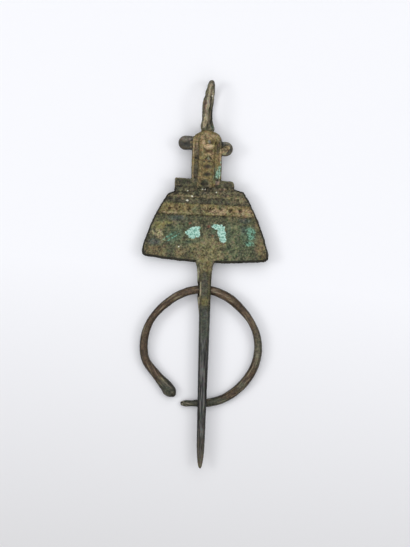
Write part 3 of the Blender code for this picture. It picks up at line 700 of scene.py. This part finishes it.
# %% Verdigris, shank, pin and rim
rim = map_rim(casting)
off_shank = 1 - dab(points, 0, 7.5, 8, 5, 0, 0.6)
rim_part = soft_step((y - 7.6) / 0.8) * (1 - 0.6 * on_head) * (y < 49) * off_shank
rim_width = 0.75 + 0.25 * soft_step((13.0 - y) / 2.0)
zones = {
    "bloom": spots(
        points, (-4.3, 17.2, 3.0, 2.8), (-3.6, 18.3, 2.6, 1.9), (-2.4, 16.9, 1.4, 2.0),
        (-2.3, 18.9, 1.2, 0.8, 15), (-5.7, 17.4, 1.2, 0.9), (-3.9, 15.9, 1.6, 0.8),
        (3.4, 19.3, 3.4, 1.4, -10), (4.6, 18.8, 2.3, 2.4), (5.1, 17.2, 2.5, 2.7), (5.3, 15.7, 2.0, 2.3),
    ) * front,
    "green_stain": spots(
        points, (13.6, 18.4, 1.9, 1.8), (13.9, 16.6, 1.8, 1.7), (14.8, 18.0, 0.9, 1.6),
        (13.6, 14.4, 2.4, 1.2), (-11.2, 16.2, 4.4, 0.5, 33), (-10.2, 15.6, 3.8, 0.4, 33),
    ) * front,
    "green_shade": spots(
        points, (2.3, 35.4, 1.1, 4.6, -6), (2.4, 18.0, 1.2, 3.4, -30), (7.0, 17.4, 1.4, 5),
        (-4.2, 14.6, 5, 1.2, 8), (13.4, 16.8, 4.4, 5), (-9.8, 16.0, 5.5, 3.2, 30),
    ) * front,
    "neck_bloom": spots(
        points, (3.3, 35.6, 1.6, 2.6, -8), (3.7, 37.5, 0.9, 1.6, -8), (4.1, 39.3, 0.5, 0.8),
    ) * front,
    "shank_crust": inside(y, -8, 5.5),
    "shank_slate": spots(points, (0.0, 0.8, 2.2, 6), (0.1, 3.8, 1.4, 3)),
    "shank_ochre": spots(points, (1.0, 7.2, 1.8, 3.2), (0.1, -4.2, 2.0, 2.8), (-1.0, 9.2, 1.4, 2)),
    # Painted light: the shank's left facet, facing the left window, is painted pale.
    "facet_lit_pale": spots(
        points, (-1.12, 0.0, 0.36, 4.6), (-1.95, 4.7, 0.8, 4.2), (-1.55, -4.0, 0.6, 3.4),
        (-1.5, -7.0, 0.4, 3),
    ),
    # Painted shade: the slot's mouths and the slit over it are painted near black.
    "slot_shade": spots(points, (-1.76, 1.85, 0.75, 1.0), (-1.68, -2.05, 0.6, 1.0), (-1.6, 0, 0.5, 4.2)),
    "pin_metal": inside(y, -80, -6.0),
    "pin_green": inside(y, -15.5, -5.0),
    "pin_brown": inside(y, -80, -46),
    # Painted shade: a dark band along the plate's outline, where the rounded rim turns from the lens.
    "rim_shade": soft_step((rim_width - rim) / 0.6) * rim_part,
}
for name, mask in zones.items():
    paint(casting, name, mask)
print("other crusts", len(zones), "rim share", round(float((zones["rim_shade"] > 0.5).mean()), 3))

# %% [markdown]
# ## Excavated bronze
#
# Leaded tin bronze, cast, and buried for long. Its skin is a crust of cuprite, malachite and earth: matt,
# grainy and olive, with pale blue-green verdigris in patches. Noises with the size of the crust's grains give
# its crumbs, its mottling and its broad clouds, and a faint play of hues, because no two grains are the same
# mineral. A noise of scale 1 has lumps of about 0.6 mm here, so each scale is that divided by the real size.

# %% Grain of the casting
GRAIN_SIZE, MOTTLE_SIZE, CLOUD_SIZE, HUE_SIZE = 0.3, 0.85, 2.6, 0.55
LUMPS = 0.6

bronze, tree, shader = new_material("excavated cast bronze")
where = add_node(tree, "TexCoord", out="Object")
mm = add_node(tree, "Mapping", None, Vector=where, Location=-SLOT / MM, Scale=(1 / MM,) * 3)
grain = add_node(tree, "TexNoise", None, mm, Scale=LUMPS / GRAIN_SIZE, Detail=2.0, Roughness=0.75)
mottle = add_node(tree, "TexNoise", None, mm, Scale=LUMPS / MOTTLE_SIZE, Detail=3.0, Roughness=0.6)
cloudy = add_node(tree, "TexNoise", None, mm, Scale=LUMPS / CLOUD_SIZE, Detail=3.0, Roughness=0.6)
hues = add_node(tree, "TexNoise", None, mm, Scale=LUMPS / HUE_SIZE, Detail=2.0, Roughness=0.7, out="Color")
both = add_node(tree, "Math", TIMES_PLUS, mottle, 0.7, grain)
crumb = add_node(tree, "MapRange", SMOOTH, both, 0.6, 1.1)
facing = add_node(tree, "SeparateXYZ", None, add_node(tree, "TexCoord", out="Normal"), out="Z")
fine_hollow = add_node(tree, "Attribute", {"attribute_name": "fine_hollow"}, out="Fac")
broad_hollow = add_node(tree, "Attribute", {"attribute_name": "broad_hollow"}, out="Fac")


def patch(tree, name, broken_by, ragged, soft, strength=1.0):
    """The painted map of that name as a mask, its outline broken by a noise."""
    painted = add_node(tree, "Attribute", {"attribute_name": name}, out="Fac")
    broken = add_node(tree, "Math", TIMES_PLUS, broken_by, ragged, painted)
    middle = 0.5 + ragged / 2
    return add_node(tree, "MapRange", SMOOTH, broken, middle - soft, middle + soft, 0.0, strength)


def crust(tree, under, name, dark, light, broken_by, ragged, soft, strength=1.0):
    """Lays a crust, or a painted shade or highlight, on a painted place, from a dark tone to a light one."""
    tone = add_node(tree, "Mix", COLOUR, crumb, dark, light)
    return add_node(tree, "Mix", COLOUR, patch(tree, name, broken_by, ragged, soft, strength), under, tone)


clouds = add_node(tree, "MapRange", SMOOTH, cloudy, 0.45, 0.6, 0.0, 0.5)
olive = add_node(tree, "Mix", COLOUR, crumb, "#282b21", "#6c6e53")
umber = add_node(tree, "Mix", COLOUR, crumb, "#332e20", "#6e6345")
skin = add_node(tree, "Mix", COLOUR, clouds, olive, umber)
print("grain", GRAIN_SIZE, "mottle", MOTTLE_SIZE, "mm")

# %% Plate tones
skin = crust(tree, skin, "green_crust", "#2c3827", "#72795a", mottle, 0.8, 0.3, 0.85)
skin = crust(tree, skin, "sandy_earth", "#423e28", "#938c65", mottle, 0.8, 0.25)
skin = crust(tree, skin, "brown_crust", "#383224", "#867a57", mottle, 0.8, 0.25)
skin = crust(tree, skin, "ochre_crust", "#3a3a27", "#8d8856", mottle, 0.8, 0.25)
skin = crust(tree, skin, "pale_earth", "#57523a", "#c6bd90", mottle, 1.0, 0.25, 0.9)
skin = crust(tree, skin, "slate_strip", "#2e3224", "#6b6a4e", cloudy, 1.2, 0.2, 0.9)
skin = crust(tree, skin, "slate_crust", "#2a3333", "#5f6962", mottle, 0.9, 0.3, 0.7)
skin = crust(tree, skin, "cuprite", "#6e4636", "#8a5c46", grain, 0.8, 0.2, 0.7)
skin = crust(tree, skin, "band_earth", "#433b23", "#95865a", grain, 0.5, 0.15)
skin = crust(tree, skin, "band_green", "#373727", "#767554", mottle, 0.7, 0.2, 0.9)
# Pale crust on the band, with a painted highlight along its lower edge.
skin = crust(tree, skin, "band_pale", "#594e38", "#bca680", mottle, 0.7, 0.2)
skin = crust(tree, skin, "block_crust", "#23231b", "#605d48", grain, 0.5, 0.15)
skin = crust(tree, skin, "block_pale", "#3a362a", "#8a8262", mottle, 0.8, 0.25, 0.9)
# Pale crust along the band's ridges, and a painted highlight on them.
skin = crust(tree, skin, "border_pale_and_lit", "#504a33", "#9e936b", mottle, 1.6, 0.25, 0.6)
skin = crust(tree, skin, "band_mark", "#33281b", "#625139", grain, 0.7, 0.35, 0.8)
skin = crust(tree, skin, "rosy_earth", "#4c3c35", "#957c6e", mottle, 0.7, 0.2, 0.9)
print("plate tones", len(tree.nodes), "nodes so far")

# %% Head, lug and loop tones
skin = crust(tree, skin, "head_earth", "#4c432a", "#98875a", grain, 0.4, 0.1)
skin = crust(tree, skin, "head_pale", "#554b35", "#ae9972", mottle, 0.6, 0.2)
skin = crust(tree, skin, "channel", "#423d31", "#7b735c", mottle, 0.6, 0.25, 0.8)
# Painted shadow beside the right lug, and a darker tone low in the left channel.
skin = crust(tree, skin, "head_dark_and_shadow", "#2a2620", "#4e483c", mottle, 0.6, 0.25, 0.8)
skin = crust(tree, skin, "notch", "#24221d", "#433f35", grain, 0.7, 0.3, 0.9)
skin = crust(tree, skin, "foot_slate", "#1d201c", "#494b40", mottle, 0.7, 0.25, 0.85)
skin = crust(tree, skin, "eye", "#35310f", "#625a2c", grain, 0.6, 0.25, 0.85)
skin = crust(tree, skin, "mouth", "#4a3124", "#7a5a48", grain, 0.6, 0.25, 0.8)
# Rubbed metal and a painted highlight on the knob and the ridge beside it.
skin = crust(tree, skin, "rubbed", "#a8916f", "#d6be9c", grain, 0.5, 0.25, 0.95)
skin = crust(tree, skin, "eye_grey", "#67665c", "#99978a", grain, 0.5, 0.25, 0.9)
skin = crust(tree, skin, "lug_metal", "#302e26", "#504c3f", grain, 0.1, 0.05)
# Painted highlights on the lugs' tops.
skin = crust(tree, skin, "lug_grey_highlight", "#57544a", "#847f70", grain, 0.3, 0.3, 0.8)
skin = crust(tree, skin, "lug_tan", "#736648", "#bba880", grain, 0.4, 0.12)
# Black on the lugs: partly dark crust, partly painted shade on their edges.
skin = crust(tree, skin, "lug_black_and_shade", "#1a1a17", "#33322c", grain, 0.3, 0.2, 0.9)
skin = crust(tree, skin, "loop_metal", "#403e32", "#6d6955", grain, 0.3, 0.1)
skin = crust(tree, skin, "loop_brown", "#4c3d33", "#78655a", grain, 0.3, 0.2)
skin = crust(tree, skin, "loop_green", "#414c40", "#6c7a66", grain, 0.3, 0.2)
# The loop's pale crust and painted highlight, then its black crust and painted shadow.
skin = crust(tree, skin, "loop_pale_and_lit", "#857c63", "#bdb296", grain, 0.4, 0.15)
skin = crust(tree, skin, "loop_black_and_shadow", "#151512", "#2b2a24", grain, 0.4, 0.15, 0.9)
print("head tones", len(tree.nodes), "nodes so far")

# %% Shank and pin tones
DRAWN_WIDTH = 0.24
DRAWN_OUT = 0.06

# Light streaks along the pin: its drawing marks, and also painted highlight lines along it.
along_pin = add_node(tree, "Mapping", None, Vector=mm, Scale=(1, DRAWN_OUT, 1))
lines = add_node(tree, "TexNoise", None, along_pin, Scale=LUMPS / DRAWN_WIDTH, Detail=2.0, Roughness=0.6)
drawn = add_node(tree, "MapRange", SMOOTH, lines, 0.42, 0.62)
skin = crust(tree, skin, "shank_crust", "#2a281c", "#625d42", mottle, 1.0, 0.25)
skin = crust(tree, skin, "shank_ochre", "#433d26", "#8a7f52", mottle, 0.9, 0.3, 0.75)
skin = crust(tree, skin, "shank_slate", "#2e2e27", "#605f50", mottle, 0.6, 0.25, 0.9)
# Painted shade: the pin's sides, turned from the lens, are darkened to near black.
pin_edge_shade = add_node(tree, "MapRange", SMOOTH, facing, 0.96, 0.5, 0.0, 0.8)
slate = add_node(tree, "Mix", COLOUR, drawn, "#141515", "#5c5c58")
slate = add_node(tree, "Mix", COLOUR, pin_edge_shade, slate, "#111110")
on_pin = patch(tree, "pin_metal", mottle, 1.6, 0.3)
skin = add_node(tree, "Mix", COLOUR, on_pin, skin, slate)
skin = crust(tree, skin, "pin_green", "#292c25", "#565b4c", mottle, 1.6, 0.35, 0.7)
worn_brown = add_node(tree, "Mix", COLOUR, drawn, "#24211c", "#4d4a42")
skin = add_node(tree, "Mix", COLOUR, patch(tree, "pin_brown", mottle, 1.6, 0.3), skin, worn_brown)
# Painted light on the shank's left facet.
skin = crust(tree, skin, "facet_lit_pale", "#8c866a", "#b9b193", mottle, 0.5, 0.15, 0.9)
# Painted shade in the slot.
skin = crust(tree, skin, "slot_shade", "#16130d", "#282318", grain, 0.2, 0.15, 0.95)
print("pin tones", len(tree.nodes), "nodes so far")

# %% [markdown]
# ## Hollows, rims and verdigris
#
# Over the tones come grime, painted shade, rubbed ridges with a painted highlight, and verdigris. Grime stays
# in hollows and is laid darker there as painted shade; painted shade runs along the rim and over faces turned
# from the lens; ridges are painted paler, as rubbed by hands and as a painted highlight; verdigris grows on
# top of all else. The verdigris is a crust of copper carbonate with a chalky light edge where it flakes.

# %% Grime and painted shade, rubbed ridges with a painted highlight, and hues
GRIME_AND_SHADE = "#211e15"

# Grime in the hollows, laid darker as painted shade where the hollows would be in shade.
fine_grime_and_shade = add_node(tree, "MapRange", SMOOTH, fine_hollow, 0.03, 0.16, 0.0, 0.5)
skin = add_node(tree, "Mix", COLOUR, fine_grime_and_shade, skin, GRIME_AND_SHADE)
broad_grime_and_shade = add_node(tree, "MapRange", SMOOTH, broad_hollow, 0.14, 0.6, 0.0, 0.45)
skin = add_node(tree, "Mix", COLOUR, broad_grime_and_shade, skin, GRIME_AND_SHADE)
# Ridges painted paler: rubbed metal and a painted highlight on the edges.
rubbed = add_node(tree, "MapRange", SMOOTH, fine_hollow, -0.05, -0.15, 0.0, 0.16)
skin = add_node(tree, "Mix", COLOUR, rubbed, skin, "#c9b88e")
play = {"data_type": "RGBA", "blend_type": "OVERLAY"}
skin = add_node(tree, "Mix", play, 0.35, skin, hues)
# Painted shade along the plate's rim.
skin = crust(tree, skin, "rim_shade", "#14130f", "#26241c", mottle, 0.5, 0.25, 0.92)
# Painted shade: faces of the casting that turn from the lens are darkened in their colour.
painted_side_shade = add_node(tree, "MapRange", SMOOTH, facing, 0.6, 0.1, 0.0, 0.5)
skin = add_node(tree, "Mix", COLOUR, painted_side_shade, skin, "#1d1b15")

# %% Verdigris
skin = crust(tree, skin, "green_shade", "#22352a", "#60785f", mottle, 1.2, 0.3, 0.6)
flake = add_node(tree, "MapRange", SMOOTH, grain, 0.34, 0.64)
stain = add_node(tree, "Mix", COLOUR, flake, "#233f31", "#80b79e")
skin = add_node(tree, "Mix", COLOUR, patch(tree, "green_stain", grain, 1.4, 0.3, 0.75), skin, stain)
chalk = add_node(tree, "Mix", COLOUR, flake, "#5f9583", "#bfe3d4")
flaked = add_node(tree, "MapRange", None, add_node(tree, "Math", TIMES_PLUS, grain, 0.7, mottle), 0.0, 1.7)
skin = add_node(tree, "Mix", COLOUR, patch(tree, "bloom", flaked, 1.1, 0.05), skin, chalk)
neck = add_node(tree, "Mix", COLOUR, flake, "#446e57", "#abccb7")
skin = add_node(tree, "Mix", COLOUR, patch(tree, "neck_bloom", grain, 0.6, 0.1), skin, neck)
skin = crust(tree, skin, "glint", "#c2c2b0", "#dcdccb", grain, 0.3, 0.12)
tree.links.new(skin, shader.inputs["Base Color"])
print("bronze has", len(tree.nodes), "nodes")

# %% Gloss and grain of the casting
CRUST_ROUGHNESS, RUBBED_ROUGHNESS = 0.8, 0.4
BARE_METAL = 0.3

on_lug = patch(tree, "lug_metal", grain, 0.1, 0.05, 0.8)
shine = add_node(tree, "Math", {"operation": "MAXIMUM"}, on_pin, on_lug)
gloss = add_node(tree, "MapRange", None, shine, 0.0, 1.0, CRUST_ROUGHNESS, RUBBED_ROUGHNESS)
tree.links.new(gloss, shader.inputs["Roughness"])
tree.links.new(add_node(tree, "Math", TIMES, on_pin, BARE_METAL), shader.inputs["Metallic"])
shader.inputs["Specular IOR Level"].default_value = 0.3
bump = add_node(tree, "Bump", None, Strength=0.6, Distance=0.1 * MM, Height=grain)
tree.links.new(bump, shader.inputs["Normal"])
casting.data.materials.append(bronze)
print("casting wears", bronze.name)

# %% [markdown]
# ## Handled bronze
#
# The ring was handled and cleaned more than the casting. Hammered bronze wears a thin brown skin of cuprite
# with a low gloss. Its sides are painted dark as shade, so that its upper side reads lighter. The hammer drew
# its scratches out along the wire, and their pale streaks also stand for a painted highlight, so two maps,
# the way round the ring and the distance from its middle, give the noise coordinates that follow the wire.

# %% Maps of the ring
RING_MIDDLE = (0.2, -17.8)
RING_GAP = math.radians(-117.7)

points, _ = points_and_normals(ring)
from_middle = points[:, :2] - np.array(RING_MIDDLE)
radius = np.hypot(from_middle[:, 0], from_middle[:, 1])
way_round = (np.arctan2(from_middle[:, 1], from_middle[:, 0]) - RING_GAP) % (2 * math.pi)
zones = {
    "radius": radius,
    "way_round": way_round * radius.mean(),
    "light_skin": spots(points, (6, -1.4, 7, 3, -20), (13.8, -8.6, 3, 7, 40), (-4, -1, 4, 3, 20)),
    "olive_skin": spots(points, (18, -18, 5, 12), (12.5, -29.6, 3, 3)),
    "green_skin": spots(points, (-10.6, -31.2, 8, 7), (-2, -35.5, 11, 4), (5, -35, 8, 4)),
    "bright_tip": spots(points, (-5.6, -35.0, 1.1, 0.6), (-5.7, -35.8, 0.8, 0.4)),
}
for name, mask in zones.items():
    paint(ring, name, mask)
print("ring radius", round(float(radius.mean()), 2), "mm")

# %% Bronze of the ring
RING_MOTTLE, RING_GRAIN, RING_HUES = 1.1, 0.36, 0.6
SCRATCH_WIDTH = 0.35
SCRATCH_STRETCH = 0.1

handled, tree, shader = new_material("handled hammered bronze")
where = add_node(tree, "TexCoord", out="Object")
mm = add_node(tree, "Mapping", None, Vector=where, Location=-SLOT / MM, Scale=(1 / MM,) * 3)
facing = add_node(tree, "SeparateXYZ", None, add_node(tree, "TexCoord", out="Normal"), out="Z")
mottle = add_node(tree, "TexNoise", None, mm, Scale=LUMPS / RING_MOTTLE, Detail=3.0, Roughness=0.6)
grain = add_node(tree, "TexNoise", None, mm, Scale=LUMPS / RING_GRAIN, Detail=2.0, Roughness=0.6)
hues = add_node(tree, "TexNoise", None, mm, Scale=LUMPS / RING_HUES, Detail=2.0, Roughness=0.7, out="Color")
around = add_node(tree, "Attribute", {"attribute_name": "way_round"}, out="Fac")
outward = add_node(tree, "Attribute", {"attribute_name": "radius"}, out="Fac")
stretched = add_node(tree, "Math", TIMES, around, SCRATCH_STRETCH)
along_wire = add_node(tree, "CombineXYZ", None, stretched, outward)
streaks = add_node(tree, "TexNoise", None, along_wire, Scale=LUMPS / SCRATCH_WIDTH, Detail=2.0, Roughness=0.6)
both = add_node(tree, "Math", TIMES_PLUS, streaks, 0.8, grain)
crumb = add_node(tree, "MapRange", SMOOTH, both, 0.65, 1.15)

skin = add_node(tree, "Mix", COLOUR, crumb, "#31261b", "#5a4934")
skin = crust(tree, skin, "light_skin", "#3f3225", "#6e5b45", mottle, 0.7, 0.3)
skin = crust(tree, skin, "olive_skin", "#38362a", "#746e58", mottle, 0.7, 0.3)
skin = crust(tree, skin, "green_skin", "#292b20", "#504f40", mottle, 0.6, 0.25)
# Pale streaks along the wire: the hammer's scratches, and also a painted highlight along the ring.
scratches = add_node(tree, "MapRange", SMOOTH, streaks, 0.55, 0.68, 0.0, 0.45)
skin = add_node(tree, "Mix", COLOUR, scratches, skin, "#a39a80")
skin = add_node(tree, "Mix", play, 0.25, skin, hues)
skin = crust(tree, skin, "bright_tip", "#8f8972", "#b9b39d", grain, 0.3, 0.2, 0.8)
# Painted shade: the ring's sides, turned from the lens, are darkened in their colour.
painted_side_shade = add_node(tree, "MapRange", SMOOTH, facing, 0.88, 0.3, 0.0, 0.85)
skin = add_node(tree, "Mix", COLOUR, painted_side_shade, skin, "#1b1710")
tree.links.new(skin, shader.inputs["Base Color"])
shader.inputs["Metallic"].default_value = BARE_METAL
shader.inputs["Specular IOR Level"].default_value = 0.4
tree.links.new(add_node(tree, "MapRange", None, mottle, 0.0, 1.0, 0.35, 0.6), shader.inputs["Roughness"])
bump = add_node(tree, "Bump", None, Strength=0.4, Distance=0.06 * MM, Height=grain)
tree.links.new(bump, shader.inputs["Normal"])
ring.data.materials.append(handled)
print("ring wears", handled.name, len(tree.nodes), "nodes")

# %% [markdown]
# ## Riding the bodies
#
# Each finished piece takes the place of its solid, moves with the solid's body, and is smooth shaded.

# %% Pieces on their bodies
for piece, body, node_name, slot in (
    (casting, "brooch", "plate_and_pin", "cast_bronze"),
    (ring, "ring", "open_ring", "ring_bronze"),
):
    bpy.ops.object.select_all(action="DESELECT")
    piece.select_set(True)
    bpy.context.view_layer.objects.active = piece
    bpy.ops.object.shade_smooth()
    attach(piece, body)
    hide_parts(node_name)
    print(piece.name, "rides on", body)
